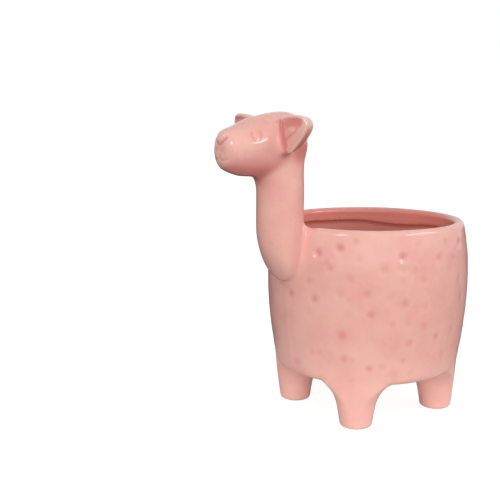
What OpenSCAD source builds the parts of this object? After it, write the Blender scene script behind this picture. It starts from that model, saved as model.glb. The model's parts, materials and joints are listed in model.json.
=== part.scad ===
// Llama planter: a round pot on four legs, with the neck and head of a llama at its front.
// Slip-cast earthenware. The llama looks along -Y, and the table is at z = 0.

/* [Pot] */
// Diameter of the belly, the widest ring of the pot
belly_d = 114; // [104:1:130]
// Height of the belly above the table
belly_z = 80; // [68:1:90]
// Height of the rim above the table
rim_z = 109.5; // [104:0.5:125]
// How far the wall leans in from the belly to the rim
rim_lean = 3; // [1:0.5:6]
// How far the wall leans in from the belly to the underside
base_lean = 5.6; // [2:0.2:9]
// Height of the pot's underside above the table
underside_z = 25; // [18:0.5:34]
// Radius of the lower outer corner
corner_r = 6; // [3:0.5:10]
// Thickness of the wall below the collar
wall = 4.6; // [3.2:0.2:5.2]
// Thickness of the floor
floor_t = 6; // [4:0.5:10]
// Radius of the corner where the floor meets the wall inside
inner_corner_r = 8; // [4:0.5:14]
// Thickness of the rim and of the collar below it
rim_t = 6; // [5.4:0.2:9]
// Depth of the collar inside the mouth
collar_depth = 9; // [6:0.5:16]

/* [Legs] */
// Spacing of the legs across the llama
leg_pitch_x = 56.4; // [50:0.4:62]
// Spacing of the legs along the llama
leg_pitch_y = 59.2; // [52:0.4:64]
// Diameter of a foot just above its rounded edge
foot_d = 18.2; // [14:0.2:22]
// Radius of the rounded edge under a foot
foot_edge_r = 2.4; // [1:0.2:4]
// Diameter that the leg's straight taper reaches at the pot's underside
thigh_d = 24.8; // [22:0.2:28]
// Width of the hollow flare that joins a leg to the pot
flare_w = 6; // [2:0.5:8]

/* [Neck] */
// Diameter of the neck at the rim
neck_d = 26; // [20:0.2:32]
// Diameter of the neck under the head
throat_d = 24.8; // [18:0.2:30]
// How far the neck's axis stands out from the belly
neck_out = 3.5; // [0:0.5:6]
// How far the rounded lower end reaches down from the rim
neck_drop = 30.5; // [22:0.5:42]
// Height over which the lower end swells out from the pot
neck_swell_h = 30; // [20:0.5:40]
// Height over which the lower end widens to the full neck
neck_round_h = 14; // [10:0.5:20]

/* [Head] */
// Height from the rim to the middle of the nose
head_rise = 41.4; // [36:0.2:60]
// How much higher the middle of the nape lies than the middle of the nose
nape_rise = 2.8; // [0:0.2:6]
// Length of the head from nose to nape
head_l = 52; // [46:0.5:66]
// How far the nape stands behind the neck's axis
nape_back = 14; // [13:0.2:17]
// Height of the head's outline towards the nose
nose_h = 26.4; // [20:0.2:34]
// Height of the head's outline towards the nape
nape_h = 39.6; // [34:0.2:48]
// Width of the head's outline towards the nose
nose_w = 25.2; // [20:0.2:32]
// Width of the head's outline towards the nape
nape_w = 31.6; // [28:0.2:40]

/* [Ears] */
// Distance from the head's middle plane to the tip of an ear
ear_reach = 31.8; // [28:0.2:44]
// Height of an ear from the bottom of its root to its top
ear_h = 19; // [14:0.5:24]
// Height of an ear's top above the middle of the nose
ear_lift = 18; // [14:0.2:22]
// Radius of an ear's rounded tip
ear_tip_r = 4.2; // [3:0.2:6]
// Thickness of an ear
ear_t = 3.2; // [2.4:0.2:5]
// Depth of the dish that hollows an ear
ear_depth = 4.5; // [3:0.2:7]
// How far an ear turns outwards from facing straight ahead, in degrees
ear_turn = 4; // [0:1:20]

/* [Hidden] */
$fn = 180;

glaze_rgb = [0.91, 0.66, 0.62];
overrun = 1;
loft_sides = 32;

// The pot's wall is two arcs that meet, upright, at the belly.
belly_r = belly_d / 2;
lip_r = rim_t / 2;
lip_z = rim_z - lip_r;
rim_r = belly_r - rim_lean;
mouth_r = rim_r - rim_t;
upper_r = arc_radius(lip_z - belly_z, rim_lean);
lower_r = arc_radius(belly_z - underside_z, base_lean);
floor_z = underside_z + floor_t;
collar_z = rim_z - collar_depth;

// The whole object is centred on the origin between its nose and the back of the belly.
neck_y = -belly_r - neck_out;
nose_y = neck_y + nape_back - head_l;
pot_y = -(nose_y + belly_r) / 2;

// Each leg stands on its own upright axis and keeps flush with the wall outside.
leg_x = leg_pitch_x / 2;
leg_y = leg_pitch_y / 2;
leg_top_z = underside_z + corner_r;
foot_r = foot_d / 2;
thigh_r = thigh_d / 2;
flare_power = 4;
flush_foot_r = norm([leg_x, leg_y]) + foot_r;
flush_top_r = wall_radius(leg_top_z);
edge_steps = 6;
taper_steps = 12;

neck_r = neck_d / 2;
throat_r = throat_d / 2;
neck_tip_z = rim_z - neck_drop;
neck_steps = 20;

head_z = rim_z + head_rise;
head_y = nose_y + head_l / 2;
nose_round = 3.5;
nape_round = 2.7;
head_steps = 22;

// The ears stand out from the upper half of the head, a little ahead of the neck's axis.
ear_forward = 9;
ear_y = neck_y - ear_forward;
ear_top_z = head_z + ear_lift;
ear_root_x = 13;
ear_root_r = 3;
ear_root_drop = 1.9;
ear_dish_r = 15;
ear_fn = 32;

// Radius of the arc that leans in by lean over a height of h.
function arc_radius(h, lean) = (h * h + lean * lean) / (2 * lean);

// Radius of the pot's lower wall at height z.
function wall_radius(z) = belly_r - lower_r + sqrt(pow(lower_r, 2) - pow(z - belly_z, 2));

function blend(a, b, share) = a + (b - a) * share;

// A closed skin through rings of loft_sides points each, drawn to a point at both ends.
module loft(first_point, rings, last_point) {
    n = loft_sides;
    count = len(rings);
    top = (count - 1) * n;
    skin = [
        for (i = [0 : count - 2], j = [0 : n - 1])
            let (k = (j + 1) % n, low = i * n, high = low + n)
            each [[low + j, high + k, high + j], [low + j, low + k, high + k]]
    ];
    first_cap = [for (j = [0 : n - 1]) [count * n, (j + 1) % n, j]];
    last_cap = [for (j = [0 : n - 1]) [count * n + 1, top + j, top + (j + 1) % n]];
    points = concat([for (ring = rings) each ring], [first_point, last_point]);
    polyhedron(points, concat(skin, first_cap, last_cap));
}

// Outline of the bowl from its axis to its wall, inset all round by a wall thickness.
module bowl_outline(inset, bottom_z, round_r, top_z) {
    arc_r = lower_r - inset;
    drop = belly_z - bottom_z - round_r;
    round_x = belly_r - lower_r + sqrt(pow(arc_r - round_r, 2) - drop * drop);
    tangent_z = belly_z - drop * arc_r / (arc_r - round_r);
    intersection() {
        translate([belly_r - upper_r, belly_z]) circle(upper_r - inset);
        translate([0, belly_z]) square([belly_r, top_z - belly_z]);
    }
    intersection() {
        translate([belly_r - lower_r, belly_z]) circle(arc_r);
        translate([0, tangent_z]) square([belly_r, belly_z - tangent_z]);
    }
    translate([0, bottom_z]) square([round_x, belly_z - bottom_z]);
    translate([round_x, bottom_z + round_r]) circle(round_r);
}

module pot_outline() {
    bowl_outline(0, underside_z, corner_r, lip_z);
    translate([mouth_r + lip_r, lip_z]) circle(lip_r);
}

module cavity_outline() {
    bowl_outline(wall, floor_z, inner_corner_r, collar_z);
    translate([0, belly_z]) square([mouth_r, rim_z + overrun - belly_z]);
}

module pot() {
    color(glaze_rgb)
        translate([0, pot_y, 0])
            rotate_extrude()
                difference() {
                    pot_outline();
                    cavity_outline();
                }
}

// The pot with its hollow filled, which the neck and the legs are shaped against.
module pot_form() {
    rotate_extrude() {
        pot_outline();
        translate([0, lip_z]) square([mouth_r + lip_r, lip_r]);
    }
}

// Half outline of a leg: a rounded foot, then a taper that flares out under the pot.
function leg_outline() =
    let (
        foot_edge = [
            for (i = [0 : edge_steps])
                let (a = 90 * i / edge_steps)
                [foot_r - foot_edge_r * (1 - sin(a)), foot_edge_r * (1 - cos(a))]
        ],
        taper = [
            for (i = [1 : taper_steps])
                let (share = i / taper_steps)
                [
                    blend(foot_r, thigh_r, share) + flare_w * pow(share, flare_power),
                    blend(foot_edge_r, underside_z, share)
                ]
        ]
    )
    concat([[0, 0]], foot_edge, taper, [[thigh_r + flare_w, leg_top_z], [0, leg_top_z]]);

// The cone that carries the pot's wall on down to the outer side of the feet.
module flush_cone() {
    cylinder(h = leg_top_z, r1 = flush_foot_r, r2 = flush_top_r);
}

module leg(side, end) {
    color(glaze_rgb)
        translate([0, pot_y, 0])
            difference() {
                intersection() {
                    translate([side * leg_x, end * leg_y, 0])
                        rotate_extrude()
                            polygon(leg_outline());
                    flush_cone();
                }
                pot_form();
            }
}

// One level ring of the neck. Its front half sinks back to the neck's axis towards the lower end.
function neck_ring(i) =
    let (
        z = neck_tip_z + (head_z - neck_tip_z) * (1 - cos(90 * i / neck_steps)),
        full_r = blend(neck_r, throat_r, max(0, (z - rim_z) / head_rise)),
        round_share = min(1, (z - neck_tip_z) / neck_round_h),
        swell_share = min(1, (z - neck_tip_z) / neck_swell_h),
        half_w = full_r * sqrt(1 - pow(1 - round_share, 2)),
        front = full_r * sin(90 * swell_share)
    )
    [
        for (j = [0 : loft_sides - 1])
            let (a = 360 * j / loft_sides, depth = sin(a) > 0 ? front : half_w)
            [half_w * cos(a), neck_y - depth * sin(a), z]
    ];

module neck_form() {
    rings = [for (i = [1 : neck_steps]) neck_ring(i)];
    loft([0, neck_y, neck_tip_z], rings, [0, neck_y, head_z]);
}

module neck() {
    color(glaze_rgb)
        translate([0, pot_y, 0])
            difference() {
                neck_form();
                pot_form();
                head_form();
            }
}

// How full the head's cross-section is at t, from -1 at the nose to 1 at the nape.
function head_fill(t) =
    let (n = t < 0 ? nose_round : nape_round)
    pow(1 - pow(abs(t), n), 1 / n);

// One upright ring of the head, narrow and low towards the nose, wide and high towards the nape.
function head_ring(i) =
    let (
        t = -cos(180 * i / head_steps),
        share = (t + 1) / 2,
        half_w = blend(nose_w, nape_w, share) / 2 * head_fill(t),
        half_h = blend(nose_h, nape_h, share) / 2 * head_fill(t),
        mid_z = head_z + nape_rise * share
    )
    [
        for (j = [0 : loft_sides - 1])
            let (a = 360 * j / loft_sides)
            [half_w * cos(a), head_y + head_l / 2 * t, mid_z + half_h * sin(a)]
    ];

module head_form() {
    rings = [for (i = [1 : head_steps - 1]) head_ring(i)];
    loft([0, nose_y, head_z], rings, [0, nose_y + head_l, head_z + nape_rise]);
}

module head() {
    color(glaze_rgb)
        translate([0, pot_y, 0])
            head_form();
}

// Outline of an ear seen from the front: upright at the root, drawn out to a round tip.
module ear_outline() {
    hull() {
        translate([ear_root_x, ear_top_z - ear_root_drop - ear_root_r])
            circle(ear_root_r, $fn = ear_fn);
        translate([ear_root_x + ear_root_r, ear_top_z - ear_h + ear_root_r])
            circle(ear_root_r, $fn = ear_fn);
        translate([ear_reach - ear_tip_r, ear_top_z - ear_tip_r])
            circle(ear_tip_r, $fn = ear_fn);
    }
}

// An ear is its outline cut through the back of a hollow ball, so it is dished and opens forwards.
module ear_form() {
    ball_r = ear_dish_r + ear_t;
    ball_x = (ear_root_x + ear_reach) / 2;
    ball_z = ear_top_z - ear_h / 2;
    translate([0, ear_depth - ear_dish_r, 0])
        intersection() {
            translate([0, ball_r, 0])
                rotate([90, 0, 0])
                    linear_extrude(ball_r)
                        ear_outline();
            translate([ball_x, 0, ball_z])
                difference() {
                    sphere(ball_r);
                    sphere(ear_dish_r);
                }
        }
}

module ear(side) {
    color(glaze_rgb)
        translate([0, pot_y, 0])
            difference() {
                mirror([side < 0 ? 1 : 0, 0, 0])
                    translate([0, ear_y, 0])
                        rotate([0, 0, ear_turn])
                            ear_form();
                head_form();
            }
}

pot();
neck();
head();
ear(1);  // ear_left
ear(-1);  // ear_right
leg(1, -1);  // leg_front_left
leg(-1, -1);  // leg_front_right
leg(1, 1);  // leg_rear_left
leg(-1, 1);  // leg_rear_right
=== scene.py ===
# %% [markdown]
# # A glazed llama planter
# The real planter is slip-cast earthenware: a round pot on four short legs, with the neck and
# head of a llama at its front, all under one satin pink glaze. It leaves the kiln as one body,
# but it was made of forms: a pot, a neck, a head, two ears and four legs. This lesson shapes each
# form, melts them together as wet clay would, presses the dimples and the face into the skin, and
# cuts the skin back into the forms, so that every piece keeps its own name and meets its
# neighbours without a gap. Everything is in metres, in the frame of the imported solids.

import json
import math
import random

import bmesh
import bpy
import numpy as np
from mathutils import Matrix, Vector, noise
from mathutils.bvhtree import BVHTree
from mathutils.kdtree import KDTree
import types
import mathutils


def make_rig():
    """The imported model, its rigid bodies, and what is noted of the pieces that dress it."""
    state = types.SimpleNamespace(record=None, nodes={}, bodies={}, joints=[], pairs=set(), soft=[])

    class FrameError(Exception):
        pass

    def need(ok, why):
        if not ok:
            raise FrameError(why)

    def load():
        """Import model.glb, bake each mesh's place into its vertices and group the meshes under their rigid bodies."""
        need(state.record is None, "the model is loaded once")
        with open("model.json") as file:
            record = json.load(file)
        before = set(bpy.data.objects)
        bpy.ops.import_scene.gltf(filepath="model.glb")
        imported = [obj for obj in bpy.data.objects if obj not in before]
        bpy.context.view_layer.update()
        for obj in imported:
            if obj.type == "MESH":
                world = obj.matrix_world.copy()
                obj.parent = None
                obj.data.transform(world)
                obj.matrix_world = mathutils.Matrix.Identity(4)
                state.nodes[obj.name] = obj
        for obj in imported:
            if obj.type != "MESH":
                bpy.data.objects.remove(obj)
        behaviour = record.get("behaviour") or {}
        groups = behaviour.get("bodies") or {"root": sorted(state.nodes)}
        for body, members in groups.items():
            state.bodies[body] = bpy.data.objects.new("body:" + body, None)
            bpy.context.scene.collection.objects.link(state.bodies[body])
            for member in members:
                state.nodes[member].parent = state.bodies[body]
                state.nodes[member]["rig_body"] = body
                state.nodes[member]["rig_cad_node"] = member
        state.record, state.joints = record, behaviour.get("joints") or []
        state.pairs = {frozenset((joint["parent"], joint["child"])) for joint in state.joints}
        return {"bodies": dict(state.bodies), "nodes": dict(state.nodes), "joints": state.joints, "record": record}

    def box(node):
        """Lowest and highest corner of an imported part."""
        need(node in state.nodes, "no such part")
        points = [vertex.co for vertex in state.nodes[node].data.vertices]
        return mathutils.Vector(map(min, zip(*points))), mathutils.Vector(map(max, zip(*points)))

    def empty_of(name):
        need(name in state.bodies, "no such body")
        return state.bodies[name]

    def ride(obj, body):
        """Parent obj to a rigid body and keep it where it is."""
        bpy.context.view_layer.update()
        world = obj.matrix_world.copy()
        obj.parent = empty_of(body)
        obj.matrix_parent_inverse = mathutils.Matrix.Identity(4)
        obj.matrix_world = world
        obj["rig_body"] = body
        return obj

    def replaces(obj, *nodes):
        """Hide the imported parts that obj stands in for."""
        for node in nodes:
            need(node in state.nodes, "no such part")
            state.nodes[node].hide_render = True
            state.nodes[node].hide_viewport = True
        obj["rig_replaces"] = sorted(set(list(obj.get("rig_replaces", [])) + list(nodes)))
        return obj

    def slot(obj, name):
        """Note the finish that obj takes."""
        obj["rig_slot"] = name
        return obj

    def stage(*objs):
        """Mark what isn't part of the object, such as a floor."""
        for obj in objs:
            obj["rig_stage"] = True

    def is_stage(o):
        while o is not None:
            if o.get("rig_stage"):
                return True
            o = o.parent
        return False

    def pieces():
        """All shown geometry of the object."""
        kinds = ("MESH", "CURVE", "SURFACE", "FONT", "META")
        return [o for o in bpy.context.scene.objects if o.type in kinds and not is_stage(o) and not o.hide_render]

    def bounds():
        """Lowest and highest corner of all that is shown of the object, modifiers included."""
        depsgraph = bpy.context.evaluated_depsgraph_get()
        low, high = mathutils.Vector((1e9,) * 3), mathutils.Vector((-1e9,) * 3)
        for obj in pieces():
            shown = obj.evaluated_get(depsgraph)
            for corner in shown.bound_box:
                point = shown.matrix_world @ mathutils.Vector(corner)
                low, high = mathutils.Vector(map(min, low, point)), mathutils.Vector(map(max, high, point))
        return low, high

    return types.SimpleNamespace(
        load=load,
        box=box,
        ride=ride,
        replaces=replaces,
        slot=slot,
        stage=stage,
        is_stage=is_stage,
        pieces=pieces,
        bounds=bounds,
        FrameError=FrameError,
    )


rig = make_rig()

for leftover in list(bpy.data.objects):
    bpy.data.objects.remove(leftover)
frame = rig.load()
solid_box = [list(corner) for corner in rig.bounds()]

mm = 0.001
print("solids:", sorted(frame["nodes"]))
print("box of the solids, in mm:", [[round(c / mm, 1) for c in corner] for corner in solid_box])

# %% [markdown]
# ## The camera
# The camera stands where the photograph was taken from: 57 degrees round from the llama's nose
# and just under 10 degrees above the horizon. It is made first because some small marks are
# later placed by looking through it.

# %% Set up the camera
PICTURE = 500
LENS = 64.8
SENSOR = 36.0
CAMERA_PLACE = Vector((391.0, -312.7, 177.7)) * mm
CAMERA_ROUND, CAMERA_RAISED, CAMERA_ROLL = 57.05, 9.683, -0.133
camera_data = bpy.data.cameras.new("camera")
camera_data.lens = LENS
camera_data.sensor_width = SENSOR
camera = bpy.data.objects.new("camera", camera_data)
camera.matrix_world = (
    Matrix.Translation(CAMERA_PLACE)
    @ Matrix.Rotation(math.radians(CAMERA_ROUND), 4, "Z")
    @ Matrix.Rotation(math.radians(90 - CAMERA_RAISED), 4, "X")
    @ Matrix.Rotation(math.radians(CAMERA_ROLL), 4, "Z")
)
bpy.context.scene.collection.objects.link(camera)
bpy.context.scene.camera = camera


def sight(x, y):
    """Direction from the camera through a point of the picture, in pixels from its top left."""
    half = PICTURE / 2
    reach = PICTURE * LENS / SENSOR
    return (camera.matrix_world.to_3x3() @ Vector((x - half, half - y, -reach))).normalized()


print("camera at", [round(c, 3) for c in camera.matrix_world.translation])

# %% [markdown]
# ## Two small helpers
# Each form is shaped as a bmesh and then kept as an object. Modifiers are applied by taking the
# evaluated mesh, so that the next step works on plain faces.

# %% Keep a form, apply modifiers
def keep(name, form):
    """An object, at the origin, with the faces of a bmesh."""
    mesh = bpy.data.meshes.new(name)
    form.to_mesh(mesh)
    form.free()
    piece = bpy.data.objects.new(name, mesh)
    bpy.context.scene.collection.objects.link(piece)
    return piece


def settle(piece):
    """Turns a piece's modifiers into faces."""
    seen = piece.evaluated_get(bpy.context.evaluated_depsgraph_get())
    mesh = bpy.data.meshes.new_from_object(seen)
    piece.modifiers.clear()
    piece.data = mesh
    return piece


def drop(*pieces):
    """Removes forms that are no longer needed."""
    for piece in pieces:
        bpy.data.objects.remove(piece)


# %% [markdown]
# ## The pot
# A round pot is turned, on a wheel or as the model for a mould, so it is a half outline swept
# round an axis. The outline is drawn with a point that moves in lines and arcs, and `spin` does
# both the arcs and the sweep. The wall is two arcs that meet at the belly. The rim is the rounded
# top of a collar that stands a little into the mouth.

# %% A pencil for half outlines
class Pencil:
    """Draws a half outline in the XZ plane and sweeps it round the Z axis."""

    def __init__(self, x, z):
        self.form = bmesh.new()
        self.tip = self.form.verts.new((x, 0, z))

    def line(self, x, z):
        start, self.tip = self.tip, self.form.verts.new((x, 0, z))
        self.form.edges.new((start, self.tip))

    def arc(self, x, z, degrees, steps):
        """Turns the tip about (x, z), anticlockwise as seen from the front."""
        swept = bmesh.ops.spin(
            self.form, geom=[self.tip], cent=(x, 0, z), axis=(0, -1, 0),
            angle=math.radians(degrees), steps=steps, use_merge=False,
        )
        self.tip = [g for g in swept["geom_last"] if isinstance(g, bmesh.types.BMVert)][0]

    def sweep(self, steps):
        bmesh.ops.spin(
            self.form, geom=self.form.verts[:] + self.form.edges[:], cent=(0, 0, 0),
            axis=(0, 0, 1), angle=math.tau, steps=steps, use_merge=True,
        )
        bmesh.ops.remove_doubles(self.form, verts=self.form.verts, dist=0.001 * mm)
        bmesh.ops.recalc_face_normals(self.form, faces=self.form.faces)
        return self.form


# %% Sizes of the pot
belly_r = 57 * mm
belly_z = 80 * mm
rim_z = 109.5 * mm
rim_lean = 3 * mm
base_lean = 5.6 * mm
underside_z = 25 * mm
corner_r = 6 * mm
wall = 4.6 * mm
floor_z = 31 * mm
inner_corner_r = 8 * mm
rim_t = 6 * mm
collar_z = 100.5 * mm
ledge_r = 1.6 * mm
ledge_wave = 1.1 * mm
ledge_fade = 6 * mm
ledge_undercut = 1.2 * mm
ledge_undercut_h = 9 * mm
collar_waist = 0.3 * mm
ledge_waves = ((1.0, 3, -1.2), (0.4, 7, 2.86))
lathe_steps = 192

pot_low, pot_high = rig.box("pot")
pot_y = (pot_low.y + pot_high.y) / 2
lip_r = rim_t / 2
lip_z = rim_z - lip_r
mouth_r = belly_r - rim_lean - rim_t


def blend(a, b, share):
    return a + (b - a) * share


def arc_radius(height, lean):
    """Radius of the arc that leans in by lean over a height."""
    return (height**2 + lean**2) / (2 * lean)


upper_r = arc_radius(lip_z - belly_z, rim_lean)
lower_r = arc_radius(belly_z - underside_z, base_lean)
upper_x = belly_r - upper_r
lower_x = belly_r - lower_r
print("pot: axis at y", round(pot_y / mm, 2), "mm, mouth", round(2 * mouth_r / mm, 1), "mm across")


# %% Turn the pot
def corner_x(inset, bottom_z, round_r):
    """Distance from the axis of the centre of the corner between wall and floor."""
    drop_z = belly_z - bottom_z - round_r
    return lower_x + math.sqrt((lower_r - inset - round_r) ** 2 - drop_z**2)


def draw_outside(grow):
    """Draws the underside and the wall up to the rim, grown outwards by a little."""
    low = underside_z - grow
    round_r = corner_r + grow
    out_x = corner_x(-grow, low, round_r)
    lean = math.degrees(math.atan2(low + round_r - belly_z, out_x - lower_x))
    pencil = Pencil(0, low)
    pencil.line(out_x, low)
    pencil.arc(out_x, low + round_r, 90 + lean, 8)
    pencil.arc(lower_x, belly_z, -lean, 24)
    pencil.arc(upper_x, belly_z, math.degrees(math.asin((lip_z - belly_z) / upper_r)), 16)
    return pencil


def draw_inside(pencil):
    """Draws the collar, its ledge, the inner wall and the floor."""
    in_x = corner_x(wall, floor_z, inner_corner_r)
    lean = math.degrees(math.atan2(floor_z + inner_corner_r - belly_z, in_x - lower_x))
    rise = math.asin((collar_z - belly_z) / (upper_r - wall))
    for step in range(1, 7):
        pencil.line(mouth_r, blend(lip_z, collar_z + ledge_r, step / 6))
    pencil.arc(mouth_r + ledge_r, collar_z + ledge_r, 90, 6)
    pencil.line(upper_x + (upper_r - wall) * math.cos(rise), collar_z)
    pencil.arc(upper_x, belly_z, -math.degrees(rise), 12)
    pencil.arc(lower_x, belly_z, lean, 20)
    pencil.arc(in_x, floor_z + inner_corner_r, -90 - lean, 8)
    pencil.line(0, floor_z)


pencil = draw_outside(0)
pencil.arc(mouth_r + lip_r, lip_z, 180, 16)
draw_inside(pencil)
pot_form = pencil.sweep(lathe_steps)
wall_top_r = upper_x + math.sqrt((upper_r - wall) ** 2 - (collar_z - belly_z) ** 2)
for vert in pot_form.verts:
    out = vert.co.xy.length
    if out > wall_top_r + 0.9 * mm or vert.co.z < belly_z:
        continue
    below = (collar_z - vert.co.z) / ledge_undercut_h
    above = (vert.co.z - collar_z - ledge_r) / (lip_z - collar_z - ledge_r)
    if 0 <= below < 1:
        vert.co.xy *= 1 + ledge_undercut * (1 - below) ** 2 / out * (out > wall_top_r - 0.1 * mm)
    if 0 < above < 1:
        vert.co.xy *= 1 + collar_waist * math.sin(math.pi * above) / out
    turned = math.atan2(vert.co.y, vert.co.x)
    wave = sum(size * math.sin(count * turned + start) for size, count, start in ledge_waves)
    vert.co.z += ledge_wave * wave * max(0, 1 - abs(vert.co.z - collar_z) / ledge_fade)
bmesh.ops.translate(pot_form, verts=pot_form.verts, vec=(0, pot_y, 0))
pot_clay = keep("pot_clay", pot_form)
print("pot form:", len(pot_clay.data.polygons), "faces")

# %% [markdown]
# ## The legs
# Each leg is a short taper that flares into the pot like the root of a tree, and its outer side
# runs on in line with the wall. It is turned like the pot, and then every point that stands out
# too far from the pot's axis is pressed back to the line of the wall.

# %% Turn the legs
leg_x = 28.2 * mm
leg_y = 29.6 * mm
foot_r = 9.1 * mm
foot_edge_r = 2.4 * mm
thigh_r = 12.4 * mm
flare_w = 6 * mm
flare_power = 4
leg_top_z = underside_z + corner_r
flush_low_r = math.hypot(leg_x, leg_y) + foot_r
flush_high_r = lower_x + math.sqrt(lower_r**2 - (leg_top_z - belly_z) ** 2)
LEGS = {
    "leg_front_left": (1, -1), "leg_front_right": (-1, -1),
    "leg_rear_left": (1, 1), "leg_rear_right": (-1, 1),
}


def leg_form(side, end):
    pencil = Pencil(0, 0)
    pencil.line(foot_r - foot_edge_r, 0)
    pencil.arc(foot_r - foot_edge_r, foot_edge_r, 90, 6)
    for step in range(1, 21):
        share = step / 20
        flare = flare_w * share**flare_power
        pencil.line(blend(foot_r, thigh_r, share) + flare, blend(foot_edge_r, underside_z, share))
    pencil.line(thigh_r + flare_w, leg_top_z)
    pencil.line(0, leg_top_z)
    form = pencil.sweep(64)
    bmesh.ops.subdivide_edges(form, edges=form.edges, cuts=1)
    bmesh.ops.translate(form, verts=form.verts, vec=(side * leg_x, end * leg_y, 0))
    for vert in form.verts:
        out = math.hypot(vert.co.x, vert.co.y)
        limit = blend(flush_low_r, flush_high_r, vert.co.z / leg_top_z)
        if out > limit:
            vert.co.xy *= limit / out
    bmesh.ops.translate(form, verts=form.verts, vec=(0, pot_y, 0))
    return form


leg_clay = {name: keep(name + "_clay", leg_form(*place)) for name, place in LEGS.items()}
print("legs:", list(leg_clay))

# %% [markdown]
# ## The neck
# The neck is a roll of clay laid against the outside of the wall. Its lower end is a rounded
# tongue that sinks into the wall, and its upper end is hidden in the head. It starts as a ball
# whose points are moved level by level: the side view and the front view of the tongue follow
# two different curves, which is easier to say for each level than to cut from a cylinder. Its
# back lies on a bed inside the wall, so that it makes no lump in the hollow of the pot.

# %% Roll the neck
neck_r = 13 * mm
throat_r = 12.9 * mm
neck_y = pot_y - belly_r - 3.9 * mm
neck_tip_z = rim_z - 30.5 * mm
neck_swell_h = 30 * mm
neck_round_h = 14 * mm
flare_z, flare_h, flare_out = 128 * mm, 8 * mm, 2.8 * mm
neck_bed_r = belly_r - 3.2 * mm
head_z = rim_z + 41.4 * mm


def clamp(value):
    return max(0, min(1, value))


def neck_point(co):
    """Where a point of a unit ball goes on the neck."""
    z = blend(neck_tip_z, head_z, (co.z + 1) / 2)
    full_r = blend(neck_r, throat_r, max(0, (z - rim_z) / (head_z - rim_z)))
    round_share = min(1, (z - neck_tip_z) / neck_round_h)
    swell_share = min(1, (z - neck_tip_z) / neck_swell_h)
    half_w = full_r * math.sqrt(max(0, 1 - (1 - round_share) ** 2))
    front = full_r * math.sin(math.pi / 2 * swell_share)
    angle = math.atan2(co.y, co.x)
    depth = front if co.y < 0 else half_w
    flare = flare_out * clamp((z - flare_z) / flare_h) ** 2 * max(0, -math.sin(angle))
    place = Vector((half_w * math.cos(angle), neck_y + depth * math.sin(angle) - flare, z))
    if z < rim_z:
        bed = blend(neck_bed_r, mouth_r, clamp((z - collar_z) / (lip_z - collar_z)))
        out = place.xy - Vector((0, pot_y))
        if out.length < bed:
            place.xy = Vector((0, pot_y)) + out * (bed / out.length)
    return place


neck_form = bmesh.new()
bmesh.ops.create_uvsphere(neck_form, u_segments=72, v_segments=96, radius=1)
for vert in neck_form.verts:
    vert.co = neck_point(vert.co)
neck_clay = keep("neck_clay", neck_form)
print("neck: tongue ends", round(neck_tip_z / mm, 1), "mm above the table")

# %% [markdown]
# ## The head
# The head is a blunt egg that lies along Y: low and narrow at the nose, tall and wide at the
# nape. It starts as a ball with its poles at the nose and the nape. Each upright ring of the
# ball is moved to its place on the egg, and a power above 2 in the law of its fullness makes the
# ends blunter than a ball's. The top dips a little at the brow and the underside at the chin.

# %% Pull the head
nose_y = neck_y - 37.6 * mm
head_l = 51.7 * mm
nape_rise = 2.8 * mm
nose_w, nape_w = 27.6 * mm, 31.2 * mm
nose_h, nape_h = 25.8 * mm, 39.8 * mm
nose_round, nose_point, nape_round = 4.6, 3.0, 2.7
brow_dip, brow_share, brow_spread = 0.115, 0.15, 0.13
chin_dip, chin_share, chin_spread = 0.05, 0.08, 0.1


def head_point(co, grow=0.0):
    """Where a point of a unit ball goes on the head, grown outwards by a little."""
    t = max(-1.0, min(1.0, co.y))
    share = (t + 1) / 2
    power = nose_round if t < 0 else nape_round
    fill = (1 - abs(t) ** power) ** (1 / power)
    angle = math.atan2(co.z, co.x)
    wide = (1 - abs(t) ** nose_point) ** (1 / nose_point) if t < 0 else fill
    half_w = blend(nose_w, nape_w, share) / 2 * wide + (grow if fill > 0 else 0)
    half_h = blend(nose_h, nape_h, share) / 2 * fill + (grow if fill > 0 else 0)
    if angle > 0:
        half_h *= 1 - brow_dip * math.exp(-(((share - brow_share) / brow_spread) ** 2))
    else:
        half_h *= 1 - chin_dip * math.exp(-(((share - chin_share) / chin_spread) ** 2))
    y = nose_y + head_l * share + grow * t
    mid_z = head_z + nape_rise * share
    return Vector((half_w * math.cos(angle), y, mid_z + half_h * math.sin(angle)))


def head_form(grow=0.0):
    form = bmesh.new()
    bmesh.ops.create_uvsphere(form, u_segments=96, v_segments=96, radius=1)
    bmesh.ops.rotate(form, verts=form.verts, matrix=Matrix.Rotation(math.pi / 2, 3, "X"))
    for vert in form.verts:
        vert.co = head_point(vert.co, grow)
    bmesh.ops.recalc_face_normals(form, faces=form.faces)
    return form


head_clay = keep("head_clay", head_form())
print("head: nose at y", round(nose_y / mm, 1), "mm")

# %% [markdown]
# ## The ears
# An ear is a thick leaf of clay that stands out sideways and is pinched to a round tip. A rolled
# rim runs round its dish, and the floor of the dish leans back towards the top. It is a cage of a
# few faces: a ring of twelve points, extruded back for the thickness and inset for the rim and
# the floor of the dish, with the edge, the lip and the floor each moved to its own outline. One
# more inset inside the edge keeps the rim crisp when subdivision rounds the cage. The right ear
# is the mirror image of the left. A point of an outline is (x, z, y) in mm: x and y are measured
# from the ear's foot, and z from the table.

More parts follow.
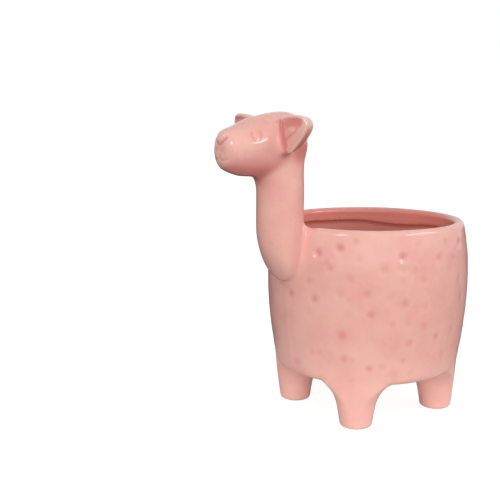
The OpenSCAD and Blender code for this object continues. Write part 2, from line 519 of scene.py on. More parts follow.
# %% Pinch the ears
EAR_EDGE = [
    (-8, 166.4, 3.2), (0, 168.0, 0.3), (6, 169.1, -0.9), (11, 169.3, -1.2),
    (15.2, 168.8, -1.2), (18.3, 167.0, -0.9), (19.6, 163.4, -0.6), (17.2, 158.9, -0.6),
    (13.2, 154.4, -0.4), (8.4, 150.3, 0.2), (3.9, 147.3, 0.5), (-8, 147.0, 1.0),
]
EAR_LIP = [
    (0.8, 164.4, -0.9), (2.0, 166.2, -1.0), (5.0, 166.9, -1.4), (8.6, 166.9, -1.7),
    (11.6, 166.4, -1.7), (12.8, 165.0, -1.7), (12.2, 162.8, -1.5), (10.0, 160.2, -1.3),
    (7.6, 157.8, -1.1), (5.0, 155.8, -0.6), (2.8, 155.0, -0.6), (1.2, 156.8, -0.8),
]
ear_foot = Vector((15.0, -50.3, 0)) * mm
ear_sweep = 9
ear_back_share = 0.86
ear_t = 6.8 * mm
back_inset, rim_inset, lip_inset, floor_inset = 2.0 * mm, 1.0 * mm, 1.2 * mm, 1.0 * mm
floor_share = 0.68
floor_mid = (4.0, 161.5)
dish_depth = 2.0 * mm
dish_lean = 0.35


def ear_form(side):
    form = bmesh.new()
    bmesh.ops.create_circle(form, segments=len(EAR_EDGE), radius=1, cap_ends=True)
    form.verts.ensure_lookup_table()
    ring = form.verts[:]
    leaf = form.faces[:]

    def lay(verts, outline):
        for vert, (x, z, y) in zip(verts, outline):
            vert.co = (x * mm, y * mm, z * mm)

    lay(ring, EAR_EDGE)
    back = bmesh.ops.extrude_face_region(form, geom=leaf, use_keep_orig=True)
    back_verts = [g for g in back["geom"] if isinstance(g, bmesh.types.BMVert)]
    back_leaf = [g for g in back["geom"] if isinstance(g, bmesh.types.BMFace)]
    centre = sum((v.co for v in back_verts), Vector()) / len(back_verts)
    for vert in back_verts:
        vert.co = centre + (vert.co - centre) * ear_back_share
        vert.co.y = ear_t
    bmesh.ops.inset_region(form, faces=back_leaf, thickness=back_inset, use_even_offset=True)
    bmesh.ops.inset_region(form, faces=leaf, thickness=rim_inset, use_even_offset=True)
    bmesh.ops.inset_region(form, faces=leaf, thickness=lip_inset, use_even_offset=True)
    lay(leaf[0].verts, EAR_LIP)
    bmesh.ops.inset_region(form, faces=leaf, thickness=floor_inset, use_even_offset=True)
    mid_x, mid_z = floor_mid
    dish = []
    for x, z, _ in EAR_LIP:
        deep = dish_depth / mm + dish_lean * (z - mid_z)
        dish.append((blend(mid_x, x, floor_share), blend(mid_z, z, floor_share), deep))
    lay(leaf[0].verts, dish)
    bmesh.ops.recalc_face_normals(form, faces=form.faces)
    turn = Matrix.Rotation(math.radians(ear_sweep), 3, "Z")
    bmesh.ops.rotate(form, verts=form.verts, cent=(0, 0, 0), matrix=turn)
    bmesh.ops.translate(form, verts=form.verts, vec=ear_foot)
    if side < 0:
        bmesh.ops.scale(form, verts=form.verts, vec=(-1, 1, 1))
        bmesh.ops.recalc_face_normals(form, faces=form.faces)
    return form


ear_clay = {}
for name, side in {"ear_left": 1, "ear_right": -1}.items():
    ear = keep(name + "_clay", ear_form(side))
    rounding = ear.modifiers.new("rounding", "SUBSURF")
    rounding.levels = rounding.render_levels = 3
    ear_clay[name] = settle(ear)
print("ears:", list(ear_clay))

# %% [markdown]
# ## Melting the forms together
# Slip and glaze round off every joint. The forms of one region are put into one mesh, and the
# voxel remesh gives them one even skin. Smoothing that skin a little everywhere takes the grid
# out of it, and smoothing it more only near the joints makes soft fillets there. The head needs
# finer faces than the pot, so there are two skins: a coarse one for the pot and its legs, and a
# fine one for the neck, the head and the ears. Both hold a part of the other, so that the fillet
# between neck and pot is the same in each. Below the lip, the inner side of the wall is left out
# of the extra smoothing, so that it stays round there.

# %% Melt forms into a skin
def read(skin, name="co"):
    """Positions of a mesh's points as an array."""
    mesh = skin.data
    flat = np.empty(len(mesh.vertices) * 3)
    mesh.vertices.foreach_get(name, flat)
    return flat.reshape(-1, 3)


def write(skin, places):
    skin.data.vertices.foreach_set("co", places.ravel())
    skin.data.update()


def melt(name, clays, grain):
    lump = bmesh.new()
    for clay in clays:
        lump.from_mesh(clay.data)
    skin = keep(name, lump)
    remesh = skin.modifiers.new("skin", "REMESH")
    remesh.mode = "VOXEL"
    remesh.voxel_size = grain
    return settle(skin)


def tree_of(piece):
    form = bmesh.new()
    form.from_mesh(piece.data)
    tree = BVHTree.FromBMesh(form)
    form.free()
    return tree


def distance_to(places, clay, width):
    """Distance from each place to the surface of a form, or width where it is farther."""
    corners = read(clay)
    close = np.all(places > corners.min(0) - width, 1) & np.all(places < corners.max(0) + width, 1)
    tree = tree_of(clay)
    far = np.full(len(places), width)
    for index in np.flatnonzero(close):
        found = tree.find_nearest(Vector(places[index]), width)[3]
        if found is not None:
            far[index] = found
    return far


def rub(skin, grain, reach, where=None):
    """Smooths a skin as far as reach, everywhere or by a share for each point."""
    smooth = skin.modifiers.new("rub", "SMOOTH")
    smooth.factor = 0.5
    smooth.iterations = max(1, round(4 * (reach / grain) ** 2))
    if where is not None:
        group = skin.vertex_groups.new(name="rub")
        for index in np.flatnonzero(where > 0.01):
            group.add([int(index)], float(where[index]), "REPLACE")
        smooth.vertex_group = "rub"
    settle(skin)
    skin.vertex_groups.clear()


def soften(skin, grain, joints):
    """Rounds the joint of each pair of forms. A joint is (one form, other form, width, reach)."""
    for one, other, width, reach in joints:
        places = read(skin)
        far = np.maximum(distance_to(places, one, width), distance_to(places, other, width))
        share = np.clip(2 * (1 - far / width), 0, 1)
        axis_r, z = np.hypot(places[:, 0], places[:, 1] - pot_y), places[:, 2]
        inner = (axis_r < neck_bed_r) & (z > belly_z)
        share *= np.where(inner, np.clip((z - collar_z) / (lip_z - collar_z), 0, 1), 1)
        rub(skin, grain, reach, share * share * (3 - 2 * share))


# %% Melt the two skins
coarse, fine = 1.0 * mm, 0.45 * mm
even = 0.55 * mm
block_size = (0.062, 0.04, 0.075)
block_place = (0, pot_y - 0.045, 0.085)

block = bmesh.new()
bmesh.ops.create_cube(block, size=1)
bmesh.ops.scale(block, verts=block.verts, vec=block_size)
bmesh.ops.translate(block, verts=block.verts, vec=block_place)
block = keep("block", block)
chunk = keep("chunk", bmesh.new())
chunk.data = pot_clay.data.copy()
trim = chunk.modifiers.new("trim", "BOOLEAN")
trim.operation = "INTERSECT"
trim.solver = "MANIFOLD"
trim.object = block
settle(chunk)

neck_joint = (neck_clay, pot_clay, 9 * mm, 3.4 * mm)
head_joint = (neck_clay, head_clay, 10 * mm, 3.6 * mm)
leg_joints = [(leg, pot_clay, 5 * mm, 2.0 * mm) for leg in leg_clay.values()]
ear_joints = [(ear, head_clay, 1.4 * mm, 0.55 * mm) for ear in ear_clay.values()]
pot_skin = melt("pot_skin", [pot_clay, neck_clay, *leg_clay.values()], coarse)
rub(pot_skin, coarse, even)
soften(pot_skin, coarse, [neck_joint])
soften(pot_skin, coarse, leg_joints)
llama_skin = melt("llama_skin", [chunk, neck_clay, head_clay, *ear_clay.values()], fine)
rub(llama_skin, fine, even)
soften(llama_skin, fine, [neck_joint, head_joint])
soften(llama_skin, fine, ear_joints)
print("skins:", len(pot_skin.data.polygons), "and", len(llama_skin.data.polygons), "faces")

# %% [markdown]
# ## Marks pressed into the clay
# The wall of the pot is covered with small pressed dimples, like the curls of a fleece. Those on
# the side that the photograph shows are placed by looking through the camera, and the hidden
# side gets rows of them with some disorder. Three near the rim were pressed deeper. The face is a
# few lines drawn with a blunt tool: a closed eye, the nose and a mouth. They are drawn the same
# way, on the left side of the head, and mirrored. The skin is moved along its own normals, so a
# mark always lies in the surface. Each mark also notes a colour for the glaze: above zero for
# rose, where it pools, and below zero for cream, where it runs thin. Some marks are colour alone.
# Some rose notes are painted shade: in and beside the ears, behind them and under the head.
# The cream on the ear's band is partly painted light.

# %% Press and draw
def normals(skin):
    mesh = skin.data
    flat = np.empty(len(mesh.vertices) * 3)
    mesh.vertex_normals.foreach_get("vector", flat)
    return flat.reshape(-1, 3)


def place_seen(tree, spots):
    """Points of the surface that the camera sees at these spots of the picture."""
    eye = camera.matrix_world.translation
    hits = [tree.ray_cast(eye, sight(x, y))[0] for x, y in spots]
    return [hit for hit in hits if hit is not None]


# Cream notes hold glaze run thin over edges, and partly painted light on the ear's band.
# Rose notes hold glaze pooled in hollows and lines, and painted shade in and beside the ears and under the head.
rose = {skin.name: np.zeros(len(skin.data.vertices)) for skin in (pot_skin, llama_skin)}


def stronger_note(old, new):
    """The stronger of two colour notes: rose above zero, cream below."""
    return new if abs(new) > abs(old) else old


def press(skin, marks):
    """Pushes a round hollow into a skin at each mark: (centre, radius, depth, share of rose)."""
    places, outward, colour = read(skin), normals(skin), rose[skin.name]
    points = KDTree(len(places))
    for index, place in enumerate(places):
        points.insert(place, index)
    points.balance()
    for centre, radius, depth, tinted in marks:
        facing = outward[points.find(centre)[1]]
        for _, index, far in points.find_range(centre, radius):
            if outward[index] @ facing > 0.2:
                share = (1 - (far / radius) ** 2) ** 2
                places[index] -= outward[index] * depth * share
                colour[index] = stronger_note(colour[index], tinted * share)
    write(skin, places)


def shade_undersides(skin, tinted):
    """Notes rose on faces that look down above the rim: painted shade under the head, partly thicker glaze."""
    colour = rose[skin.name]
    down = np.clip((-normals(skin)[:, 2] - 0.1) / 0.6, 0, 1) * (read(skin)[:, 2] > rim_z)
    colour[:] = np.maximum(colour, tinted * down)


def draw(skin, line, width, depth, tinted):
    """Draws a groove along a line of points, and the same one on the other side."""
    places, outward, colour = read(skin), normals(skin), rose[skin.name]
    points = KDTree(2 * len(line))
    for index, point in enumerate(line):
        points.insert(point, 2 * index)
        points.insert(Vector((-point.x, point.y, point.z)), 2 * index + 1)
    points.balance()
    low = np.array([min(p[axis] for p in line) for axis in range(3)]) - 3 * width
    high = np.array([max(p[axis] for p in line) for axis in range(3)]) + 3 * width
    folded = np.abs(places * (1, 0, 0)) + places * (0, 1, 1)
    close = np.all(folded > low, 1) & np.all(folded < high, 1)
    for index in np.flatnonzero(close):
        share = math.exp(-((points.find(places[index])[2] / width) ** 2))
        places[index] -= outward[index] * depth * share
        colour[index] = stronger_note(colour[index], tinted * share)
    write(skin, places)


def trace(tree, spots, steps=12):
    """A line of points on the left half of a surface, through spots of the picture."""
    path = []
    for (x0, y0), (x1, y1) in zip(spots, spots[1:]):
        shares = [step / steps for step in range(steps + 1)]
        path += [(blend(x0, x1, share), blend(y0, y1, share)) for share in shares]
    found = place_seen(tree, path)
    return [Vector((max(0, p.x), p.y, p.z)) for p in found]


# %% Leave the skins a little uneven
def wobble(skin, depth, scale):
    """Sinks a skin in by up to a depth, in slow waves."""
    places, outward = read(skin), normals(skin)
    for index, place in enumerate(places):
        places[index] -= outward[index] * depth * (0.5 + 0.5 * noise.noise(Vector(place) * scale))
    write(skin, places)


wobble_depth, wobble_scale = 0.3 * mm, 60
for skin in (pot_skin, llama_skin):
    wobble(skin, wobble_depth, wobble_scale)
print("skins uneven by up to", round(wobble_depth / mm, 2), "mm")

# %% Press the dimples
SEEN_DIMPLES = [
    (359, 259), (356, 241), (330, 269), (384, 270),
    (404, 270), (403, 282), (424, 280), (440, 259), (351, 281), (340, 294), (367, 295),
    (389, 299), (405, 304), (426, 306), (444, 297), (314, 299), (309, 281), (291, 293),
    (347, 316), (371, 315), (393, 325), (409, 324), (424, 326), (451, 330), (308, 314),
    (342, 336), (373, 342), (394, 349), (410, 343), (436, 336), (427, 357), (442, 354),
    (403, 361), (344, 359), (318, 352), (369, 369), (382, 367), (351, 381), (410, 373),
    (459, 243), (419, 244), (400, 241), (449, 243), (459, 280), (461, 296), (296, 361),
    (394, 378),
]
DEEP_DIMPLES = [(317.5, 253.5), (339, 249), (403.5, 258)]
deep_r, deep_depth, deep_rose = 3.5 * mm, 1.15 * mm, 0.5
rows, row_count = 6, 21
row_low, row_step = 40, 11.5
turned_slack, level_slack = 0.28, 2.6
edge_view = 0.12
neck_gap = 5 * mm
dice = random.Random(7)
pot_tree = tree_of(pot_skin)
neck_tree = tree_of(neck_clay)
seen = place_seen(pot_tree, SEEN_DIMPLES)
hidden = []
for row in range(rows):
    for step in range(row_count):
        slack = dice.uniform(-turned_slack, turned_slack)
        turned = math.tau * (step + 0.5 * (row % 2) + slack) / row_count
        level = (row_low + row_step * row + dice.uniform(-level_slack, level_slack)) * mm
        start = Vector((2 * belly_r * math.cos(turned), 2 * belly_r * math.sin(turned) + pot_y, level))
        aim = Vector((-math.cos(turned), -math.sin(turned), 0))
        spot, facing, _, _ = pot_tree.ray_cast(start, aim)
        view = (camera.matrix_world.translation - spot).normalized()
        clear = neck_tree.find_nearest(spot)[3] > neck_gap
        if view.dot(facing) < edge_view and clear:
            hidden.append(spot)
marks = []
for spot in seen + hidden:
    radius = dice.uniform(3.4, 4.8) * mm
    depth = dice.uniform(0.05, 0.095) * radius
    marks.append((spot, radius, depth, dice.uniform(0.15, 0.55)))
for spot in place_seen(pot_tree, DEEP_DIMPLES):
    marks.append((spot, deep_r, deep_depth, deep_rose))
press(pot_skin, marks)
press(llama_skin, [mark for mark in marks if mark[0].y < pot_y - 40 * mm])
print("dimples:", len(seen), "seen and", len(hidden), "hidden")

# %% Draw the face
EYE = [
    (251.6, 133.2), (252.3, 137.0), (254.6, 140.2), (258.0, 140.8), (260.8, 138.4),
    (261.3, 134.8), (260.2, 132.0),
]
NOSTRIL = [(226.4, 137.8), (223.8, 140.2), (221.6, 142.8), (219.9, 144.6)]
RIDGE = [(225.0, 133.8), (221.0, 136.4), (217.4, 139.4)]
MOUTH = [(219.6, 155.4), (220.1, 158.9), (221.7, 160.8), (225.0, 160.4), (227.0, 158.4)]
# Colour along the crease at the ear's root: glaze pooled there, and partly painted shade.
EAR_ROOT = [
    (280.4, 121.0), (280.2, 126.0), (280.5, 131.0), (281.2, 136.0), (282.4, 141.0),
    (284.0, 146.0), (285.4, 150.5), (287.2, 152.8),
]
# Painted shade on the wall of the ear's dish beside its root, where the ear's band shades it.
EAR_WALL_SHADE = [
    (282.8, 123.0), (282.8, 128.0), (283.2, 133.0), (284.0, 138.0), (285.0, 143.0), (286.0, 147.0),
]
# Painted shade in the top of the ear's dish, under its upper lip.
EAR_HOOD_SHADE = [(286.5, 123.4), (289.0, 122.4), (294.0, 121.6), (299.5, 122.0)]
EAR_RIM = [(281.4, 119.0), (285.0, 117.6), (290.0, 117.0), (298.0, 116.8), (304.0, 117.8)]
# Cream on the ear's band: glaze run thin over the rolled rim, and partly painted light that makes it as pale as a lit
# face.
EAR_BAND = [
    (289.0, 151.0), (294.8, 145.6), (300.6, 139.6), (305.2, 133.6), (308.0, 127.5), (308.0, 122.0),
]
EAR_FOLD = [
    (284.0, 130.2), (286.4, 128.2), (290.3, 126.8), (294.4, 126.6), (296.0, 128.0), (295.2, 131.2),
    (292.6, 134.8), (288.9, 138.0), (285.6, 140.2),
]
TUFT = [(261.5, 118.4), (264.4, 120.2), (267.4, 121.4)]
BROW = [(268.8, 117.2), (272.3, 118.4), (274.6, 121.4)]
# A line, its width and depth in mm, and its colour note
LINES = [
    (EYE, 1.0, 0.09, 0.45), (NOSTRIL, 1.0, 0.28, 0.7), (RIDGE, 1.2, -0.15, -0.3),
    (MOUTH, 0.55, 0.2, 0.35), (EAR_RIM, 1.0, -0.15, -0.3), (EAR_BAND, 3.4, 0, -1.0),
    (EAR_ROOT, 1.5, 0, 0.75), (EAR_WALL_SHADE, 1.9, 0, 0.85), (EAR_HOOD_SHADE, 3.2, 0, 0.75),
    (EAR_FOLD, 0.8, 0.25, 0.5), (TUFT, 0.7, 0.2, 0.3), (BROW, 0.8, 0.15, 0.25),
]
# Painted shade: colour alone behind each ear, and a raised, darker floor in the ear's dish.
DISH_FLOOR_SHADE, LIPS, BEHIND_EAR_SHADE = (290.4, 132.2), (222.5, 150.0), (302.0, 150.0)
# A spot, its radius and depth in mm, and its colour note
TOUCHES = [(DISH_FLOOR_SHADE, 4, -0.4, 0.3), (LIPS, 5, 0.2, 0.25), (BEHIND_EAR_SHADE, 12, 0, 0.85)]
underside_shade = 0.8
seam_low, seam_high, seam_w, seam_rise = 36, 70, 1.2 * mm, 0.16 * mm

face_tree = tree_of(llama_skin)
for line, width, depth, tinted in LINES:
    draw(llama_skin, trace(face_tree, line), width * mm, depth * mm, tinted)
touches = []
for spot, radius, depth, tinted in TOUCHES:
    found = place_seen(face_tree, [spot])[0]
    for side in (1, -1):
        place = Vector((side * found.x, found.y, found.z))
        touches.append((place, radius * mm, depth * mm, tinted))
press(llama_skin, touches)
# Painted shade on faces that look down under the head, partly thicker glaze.
shade_undersides(llama_skin, underside_shade)
levels = np.linspace(seam_low, seam_high, 60)
seam = [Vector((0, pot_y - belly_r + 2 * mm, z * mm)) for z in levels]
draw(pot_skin, [pot_tree.find_nearest(point)[0] for point in seam], seam_w, -seam_rise, 0)
print("face: lines drawn on both sides")

# %% [markdown]
# ## Glaze runs off edges and pools in hollows
# A glaze is thin and pale where it breaks over an edge and thick and deep where it pools. Both
# follow from the bend of the surface, so the bend is measured at each point and kept as an
# attribute named bend, above zero in a hollow and below zero on an edge.

# %% Measure the bend
def measure_bend(skin, blur):
    mesh = skin.data
    places, outward = read(skin), normals(skin)
    edges = np.empty(len(mesh.edges) * 2, dtype=np.int32)
    mesh.edges.foreach_get("vertices", edges)
    a, b = edges.reshape(-1, 2).T
    count = np.bincount(a, minlength=len(places)) + np.bincount(b, minlength=len(places))

    def around(values):
        total = np.bincount(a, values[b], len(places)) + np.bincount(b, values[a], len(places))
        return total / count

    middle = np.stack([around(places[:, axis]) for axis in range(3)], 1)
    step = np.sum((places[a] - places[b]) ** 2, 1)
    size = (np.bincount(a, step, len(places)) + np.bincount(b, step, len(places))) / count
    bend = np.sum((middle - places) * outward, 1) / size * 4 * mm
    for _ in range(blur):
        bend = (bend + around(bend)) / 2
    return bend


BLUR = {pot_skin.name: 8, llama_skin.name: 6}
skin_bend = {skin.name: measure_bend(skin, BLUR[skin.name]) for skin in (pot_skin, llama_skin)}
for name, bend in skin_bend.items():
    print(name, "bend per mm:", np.percentile(bend, [1, 10, 50, 90, 99]).round(3))

# %% [markdown]
# ## Cutting the skins into pieces
# The zone of the pot is its outline grown by a little, with the hollow filled, and the zone of
# the head is the head grown the same way. A boolean with a zone gives closed pieces that share
# their cut faces. What is left outside both zones falls apart into the neck, the ears and the
# legs, and each of these islands takes the name of the solid that it stands for.

# %% Zones
grow = 0.4 * mm
pencil = draw_outside(grow)
pencil.arc(mouth_r + lip_r, lip_z, 90 - math.degrees(math.asin((lip_z - belly_z) / upper_r)), 8)
pencil.line(0, rim_z + grow)
zone = pencil.sweep(256)
bmesh.ops.translate(zone, verts=zone.verts, vec=(0, pot_y, 0))
pot_zone = keep("pot_zone", zone)
head_zone = keep("head_zone", head_form(grow))


def cut(name, skin, how, *zones):
    piece = keep(name, bmesh.new())
    piece.data = skin.data.copy()
    for zone in zones:
        knife = piece.modifiers.new("knife", "BOOLEAN")
        knife.operation = how
        knife.solver = "MANIFOLD"
        knife.object = zone
    return settle(piece)


def islands(piece):
    """The loose parts of a mesh, each as a new bmesh."""
    form = bmesh.new()
    form.from_mesh(piece.data)
    form.verts.ensure_lookup_table()
    label = [-1] * len(form.verts)
    parts = []
    for seed in form.verts:
        if label[seed.index] >= 0:
            continue
        label[seed.index] = len(parts)
        waiting, members = [seed], []
        while waiting:
            vert = waiting.pop()
            members.append(vert.index)
            for edge in vert.link_edges:
                other = edge.other_vert(vert)
                if label[other.index] < 0:
                    label[other.index] = len(parts)
                    waiting.append(other)
        parts.append(members)
    for members in parts:
        part = form.copy()
        part.verts.ensure_lookup_table()
        inside = set(members)
        others = [v for v in part.verts if v.index not in inside]
        bmesh.ops.delete(part, geom=others, context="VERTS")
        yield part
    form.free()


# %% Cut
CRUMB = 300
NEAR = 10 * mm
pieces = {
    "pot": cut("glazed_pot", pot_skin, "INTERSECT", pot_zone),
    "head": cut("glazed_head", llama_skin, "INTERSECT", head_zone),
}
outside_pot = cut("outside_pot", pot_skin, "DIFFERENCE", pot_zone)
outside_head = cut("outside_head", llama_skin, "DIFFERENCE", pot_zone, head_zone)


def middle_of(node):
    low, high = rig.box(node)
    return (low + high) / 2


for names, source in ((list(LEGS), outside_pot), (["neck", "ear_left", "ear_right"], outside_head)):
    for part in islands(source):
        if len(part.verts) < CRUMB:
            part.free()
            continue
        low = Vector([min(v.co[axis] for v in part.verts) for axis in range(3)])
        high = Vector([max(v.co[axis] for v in part.verts) for axis in range(3)])
        node = min(names, key=lambda n: (middle_of(n) - (low + high) / 2).length)
        far = (middle_of(node) - (low + high) / 2).length
        print("island:", len(part.verts), "points, nearest", node, round(far / mm, 1), "mm")
        if far < NEAR and node not in pieces:
            pieces[node] = keep("glazed_" + node, part)
        else:
            part.free()
drop(outside_pot, outside_head)
print("pieces:", sorted(pieces))

# %% [markdown]
# ## Sharp cut faces, smooth glaze
# The cut faces inside the joints are flat and the skin is smooth, so edges sharper than a few
# tens of degrees are marked sharp and the rest shade smoothly. The bend is carried over from the
# skins by the nearest point.

# %% Finish the meshes
SHARP = math.radians(50)


def note(piece, name, values):
    """Keeps a number for each point of a piece as an attribute."""
    store = piece.data.attributes.new(name, "FLOAT", "POINT")
    store.data.foreach_set("value", values)


def carry(piece, skin):
    """Notes the bend and the rose of the nearest point of the skin."""
    points = KDTree(len(skin.data.vertices))
    for index, place in enumerate(read(skin)):
        points.insert(place, index)
    points.balance()
    found = [points.find(place)[1] for place in read(piece)]
    note(piece, "bend", skin_bend[skin.name][found])
    note(piece, "rose", rose[skin.name][found])


skin_depth, skin_fade = 2.4 * mm, 2.6 * mm


def inside_share(place):
    """How far a point of the pot is on its inner side, from 0 to 1."""
    x, y, z = place
    level = min(z, lip_z) - belly_z
    arc_x, arc_r = (upper_x, upper_r) if level > 0 else (lower_x, lower_r)
    depth = arc_x + math.sqrt(arc_r**2 - level**2) - math.hypot(x, y - pot_y)
    above = 1 if z > floor_z - 1 * mm else 0
    return above * clamp((depth - skin_depth) / skin_fade)


SKIN_OF = {"neck": llama_skin, "head": llama_skin, "ear_left": llama_skin, "ear_right": llama_skin}
for node, piece in pieces.items():
    piece.name = "glazed_" + node
    carry(piece, SKIN_OF.get(node, pot_skin))
    piece.data.polygons.foreach_set("use_smooth", [True] * len(piece.data.polygons))
    piece.data.set_sharp_from_angle(angle=SHARP)
note(pieces["pot"], "inside", [inside_share(place) for place in read(pieces["pot"])])

drop(pot_zone, head_zone, block, chunk, pot_clay, neck_clay, head_clay)
drop(pot_skin, llama_skin, *leg_clay.values(), *ear_clay.values())
print("triangles:", {n: sum(len(f.vertices) - 2 for f in p.data.polygons) for n, p in pieces.items()})

# %% [markdown]
# ## The glaze
# The glaze is a soft pink, satin rather than mirror-bright. It is never one flat colour: broad
# clouds drift between a warmer and a cooler pink, small freckles sit in it, edges break to a
# pale cream pink, hollows pool to rose, and its surface has the faint unevenness of orange peel.
# Under the feet it is wiped off before firing, so the bare clay shows there.
# Painted light makes the glaze paler towards the feet. Painted shade makes it darker and redder
# on the inner side of the pot, and deep red under the ledge inside.

# %% A small kit for shader nodes
class Nodes:
    """Adds and links nodes in one material or world."""

    def __init__(self, tree):
        self.tree = tree
        tree.nodes.clear()

    def add(self, kind, inputs=(), **settings):
        node = self.tree.nodes.new(kind)
        for key, value in settings.items():
            setattr(node, key, value)
        for key, value in dict(inputs).items():
            if isinstance(value, bpy.types.NodeSocket):
                self.tree.links.new(value, node.inputs[key])
            else:
                node.inputs[key].default_value = value
        return node

    def attribute(self, name):
        return self.add("ShaderNodeAttribute", attribute_name=name).outputs["Fac"]

    def noise(self, place, scale, detail):
        inputs = {"Vector": place, "Scale": scale, "Detail": detail}
        return self.add("ShaderNodeTexNoise", inputs).outputs["Fac"]

    def scale_range(self, value, low, high, to_low=0.0, to_high=1.0):
        ranges = {
            "Value": value, "From Min": low, "From Max": high, "To Min": to_low, "To Max": to_high,
        }
        return self.add("ShaderNodeMapRange", ranges, interpolation_type="SMOOTHSTEP").outputs["Result"]

    def mix(self, share, one, other):
        node = self.add("ShaderNodeMix", data_type="RGBA")
        for key, value in (("Factor_Float", share), ("A_Color", one), ("B_Color", other)):
            socket = next(s for s in node.inputs if s.identifier == key)
            if isinstance(value, bpy.types.NodeSocket):
                self.tree.links.new(value, socket)
            else:
                socket.default_value = value
        return next(s for s in node.outputs if s.identifier == "Result_Color")

    def sum(self, how, one, other):
        return self.add("ShaderNodeMath", {0: one, 1: other}, operation=how).outputs[0]


def tint(red, green, blue):
    """A colour given as it is seen on a screen, from 0 to 255, as linear light."""
    seen = [value / 255 for value in (red, green, blue)]
    return [v / 12.92 if v <= 0.04045 else ((v + 0.055) / 1.055) ** 2.4 for v in seen] + [1.0]


# %% Mix the glaze
WARM, COOL, GRAIN = tint(242, 184, 171), tint(238, 173, 163), tint(243, 190, 176)
FRECKLE, PAINTED_FLOOR_LIGHT, INSIDE_SHADE = tint(222, 138, 132), tint(249, 196, 183), tint(226, 138, 126)
POOL, DEEP_POOL_SHADE, ROSE = tint(222, 136, 130), tint(140, 40, 38), tint(220, 130, 124)
CREAM, EDGE, CLAY = tint(240, 206, 188), tint(236, 201, 184), tint(226, 205, 184)
CLOUD_SCALE, GRAIN_SCALE, PEEL_SCALE, FRECKLE_SCALE = 55.0, 420.0, 160.0, 110.0
grain_share, freckle_share, floor_light_share, inside_shade_share = 0.25, 0.3, 0.35, 0.9
floor_light_from, floor_light_to = 0.05, 0.008
pool_share, pool_shade_inside = 0.2, 0.45
pool_bend_low, pool_bend_high = 0.1, 0.7
edge_bend_low, edge_bend_high, edge_share = -0.21, -0.5, 0.75
wipe_ragged, wipe_high, wipe_low = 0.0006, 0.0011, 0.0008
satin_low, satin_high, clay_rough = 0.14, 0.2, 0.85
peel_strength, peel_depth, glaze_gloss = 0.5, 0.00012, 0.35


def mix_glaze():
    material = bpy.data.materials.new("pink_glaze")
    material.use_nodes = True
    kit = Nodes(material.node_tree)
    place = kit.add("ShaderNodeTexCoord").outputs["Object"]
    bend, pressed, inside = [kit.attribute(name) for name in ("bend", "rose", "inside")]
    clouds = kit.noise(place, CLOUD_SCALE, 3.0)
    grains = kit.noise(place, GRAIN_SCALE, 2.0)
    peel = kit.noise(place, PEEL_SCALE, 2.0)
    cells = kit.add("ShaderNodeTexVoronoi", {"Vector": place, "Scale": FRECKLE_SCALE})
    chosen = kit.add("ShaderNodeSeparateColor", {"Color": cells.outputs["Color"]}).outputs["Red"]
    spot = kit.scale_range(cells.outputs["Distance"], 0.34, 0.05)
    freckle = kit.sum("MULTIPLY", spot, kit.scale_range(chosen, 0.8, 0.84, 0.0, freckle_share))
    pink = kit.mix(kit.scale_range(clouds, 0.35, 0.65), WARM, COOL)
    pink = kit.mix(kit.scale_range(grains, 0.4, 0.75, 0.0, grain_share), pink, GRAIN)
    pink = kit.mix(freckle, pink, FRECKLE)
    height = kit.add("ShaderNodeSeparateXYZ", {"Vector": place}).outputs["Z"]
    # Painted light: the glaze is paler towards the feet, as if lit by the floor.
    pink = kit.mix(kit.scale_range(height, floor_light_from, floor_light_to, 0.0, floor_light_share), pink, PAINTED_FLOOR_LIGHT)
    # Painted shade: the inner side of the pot is darker and redder.
    pink = kit.mix(kit.sum("MULTIPLY", inside, inside_shade_share), pink, INSIDE_SHADE)
    # Glaze pools to rose in hollows; on the inner side the pool turns deep red, painted shade under the ledge.
    pool = kit.mix(inside, POOL, DEEP_POOL_SHADE)
    depth = kit.sum("ADD", pool_share, kit.sum("MULTIPLY", inside, pool_shade_inside))
    pooled = kit.scale_range(bend, pool_bend_low, pool_bend_high)
    pink = kit.mix(kit.sum("MULTIPLY", depth, pooled), pink, pool)
    # Rose notes: glaze pooled in hollows and lines, and painted shade in and beside the ears and under the head.
    pink = kit.mix(kit.scale_range(pressed, 0.0, 1.0), pink, ROSE)
    # Cream notes: glaze run thin over edges, and partly painted light on the ear's band.
    pink = kit.mix(kit.scale_range(pressed, 0.0, -1.0), pink, CREAM)
    broken = kit.scale_range(bend, edge_bend_low, edge_bend_high, 0.0, edge_share)
    pink = kit.mix(broken, pink, EDGE)
    wiped = kit.sum("ADD", height, kit.sum("MULTIPLY", peel, wipe_ragged))
    bare = kit.scale_range(wiped, wipe_high, wipe_low)
    colour = kit.mix(bare, pink, CLAY)
    rough = kit.scale_range(peel, 0.3, 0.7, satin_low, satin_high)
    rough = kit.sum("MAXIMUM", rough, kit.sum("MULTIPLY", bare, clay_rough))
    bump = kit.add("ShaderNodeBump", {
        "Height": peel, "Strength": peel_strength, "Distance": peel_depth,
    })
    shader = kit.add("ShaderNodeBsdfPrincipled", {
        "Base Color": colour, "Roughness": rough, "Normal": bump.outputs["Normal"],
        "Specular IOR Level": glaze_gloss,
    })
    kit.add("ShaderNodeOutputMaterial", {"Surface": shader.outputs["BSDF"]})
    return material


glaze = mix_glaze()
for node, piece in pieces.items():
    piece.data.materials.clear()
    piece.data.materials.append(glaze)
    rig.ride(piece, "root")
    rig.slot(piece, "pink_glaze")
    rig.replaces(piece, node)
print("glaze on", len(pieces), "pieces")

# %% [markdown]
# ## Floor, light and background
# The planter stands on a plain white floor that keeps its shadow. An even sky and five soft lamps
# light it at a level at which its colours come out as they were written. The key and the side
# lamp give light and gloss, as real lamps do. The back and the low lamp give no gloss, because
# their reflections would lie on the wall as blotches, and the strip gives gloss alone, for the
# thin highlight on the head. No real lamp does only one of the two.

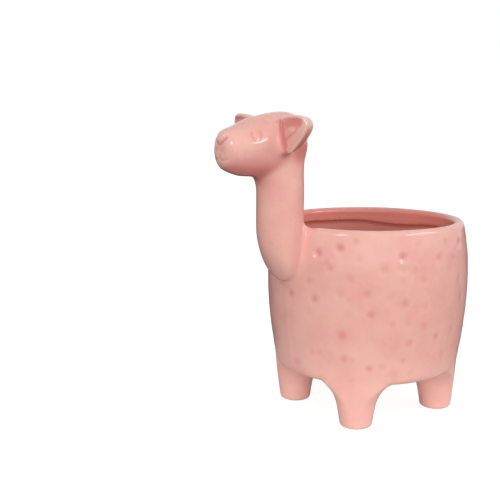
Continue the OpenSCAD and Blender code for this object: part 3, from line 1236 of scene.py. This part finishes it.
# %% Build the studio
floor_r = 3
fade_from, fade_to = 0.08, 0.16
paper_near, paper_far = 0.75, 0.12
glow, glow_near, glow_far = 1.42, 0.63, 0.76
sky_level = 0.44
lamp_aim_z = 0.08

floor = bmesh.new()
bmesh.ops.create_circle(floor, segments=64, radius=floor_r, cap_ends=True)
floor = keep("floor", floor)
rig.stage(floor)

paper = bpy.data.materials.new("white_paper")
paper.use_nodes = True
kit = Nodes(paper.node_tree)
seen_rays = kit.add("ShaderNodeLightPath").outputs
spot = kit.add("ShaderNodeTexCoord").outputs["Object"]
away = kit.add("ShaderNodeVectorMath", {0: spot}, operation="LENGTH").outputs["Value"]
grey = kit.scale_range(away, fade_from, fade_to, paper_near, paper_far)
matte = kit.add("ShaderNodeBsdfDiffuse", {"Color": grey})
bright = kit.add("ShaderNodeEmission", {"Color": (1, 1, 1, 1), "Strength": glow})
glow_share = kit.scale_range(away, fade_from, fade_to, glow_near, glow_far)
share = kit.sum("MULTIPLY", seen_rays["Is Camera Ray"], glow_share)
kit.add("ShaderNodeOutputMaterial", {"Surface": kit.add("ShaderNodeMixShader", {
    0: share, 1: matte.outputs["BSDF"], 2: bright.outputs["Emission"],
}).outputs["Shader"]})
floor.data.materials.append(paper)

world = bpy.data.worlds.new("sky")
world.use_nodes = True
bpy.context.scene.world = world
kit = Nodes(world.node_tree)
seen_rays = kit.add("ShaderNodeLightPath").outputs
direct = kit.sum("MAXIMUM", seen_rays["Is Camera Ray"], seen_rays["Is Glossy Ray"])
direct = kit.sum("MAXIMUM", direct, seen_rays["Is Transmission Ray"])
level = kit.add("ShaderNodeMapRange", {"Value": direct, "To Min": sky_level, "To Max": 1.0})
sky = kit.add("ShaderNodeBackground", {
    "Color": (1, 1, 1, 1), "Strength": level.outputs["Result"],
})
kit.add("ShaderNodeOutputWorld", {"Surface": sky.outputs["Background"]})


def lamp(name, azimuth, elevation, distance, width, height, share, diffuse=True, glossy=True):
    """A soft lamp that adds this share of full light to a face turned to it.

    Angles are in degrees and lengths in metres. Diffuse and glossy say what the lamp takes part in.
    """
    data = bpy.data.lights.new(name, "AREA")
    data.shape = "RECTANGLE"
    data.size, data.size_y = width, height
    data.energy = math.pi**2 * distance**2 * share
    light = bpy.data.objects.new(name, data)
    light.visible_diffuse = diffuse
    light.visible_glossy = glossy
    turn = Matrix.Rotation(math.radians(azimuth), 4, "Z")
    tilt = Matrix.Rotation(math.radians(90 - elevation), 4, "X")
    back = Matrix.Translation((0, 0, distance))
    light.matrix_world = Matrix.Translation((0, 0, lamp_aim_z)) @ turn @ tilt @ back
    bpy.context.scene.collection.objects.link(light)
    return light


lamps = [
    lamp("key", 20, 25, 1.2, 0.18, 0.15, 0.13),
    lamp("side", 95, 35, 1.3, 1.0, 0.7, 0.13),
    lamp("back", 150, 14, 1.3, 1.0, 0.6, 0.3, glossy=False),
    lamp("low", 52, 9, 1.3, 2.0, 0.5, 0.62, glossy=False),
    lamp("strip", 120, 29, 1.2, 0.8, 0.09, 0.5, diffuse=False),
]
bpy.context.scene.view_settings.view_transform = "Standard"
print("studio: a floor, a sky and", len(lamps), "lamps")

# %% Note the sizes and finish
dressed_box = [list(corner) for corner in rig.bounds()]
with open("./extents.json", "w") as note:
    json.dump({"solids": solid_box, "dressed": dressed_box}, note)
print("dressed box, in mm:", [[round(c / mm, 1) for c in corner] for corner in dressed_box])
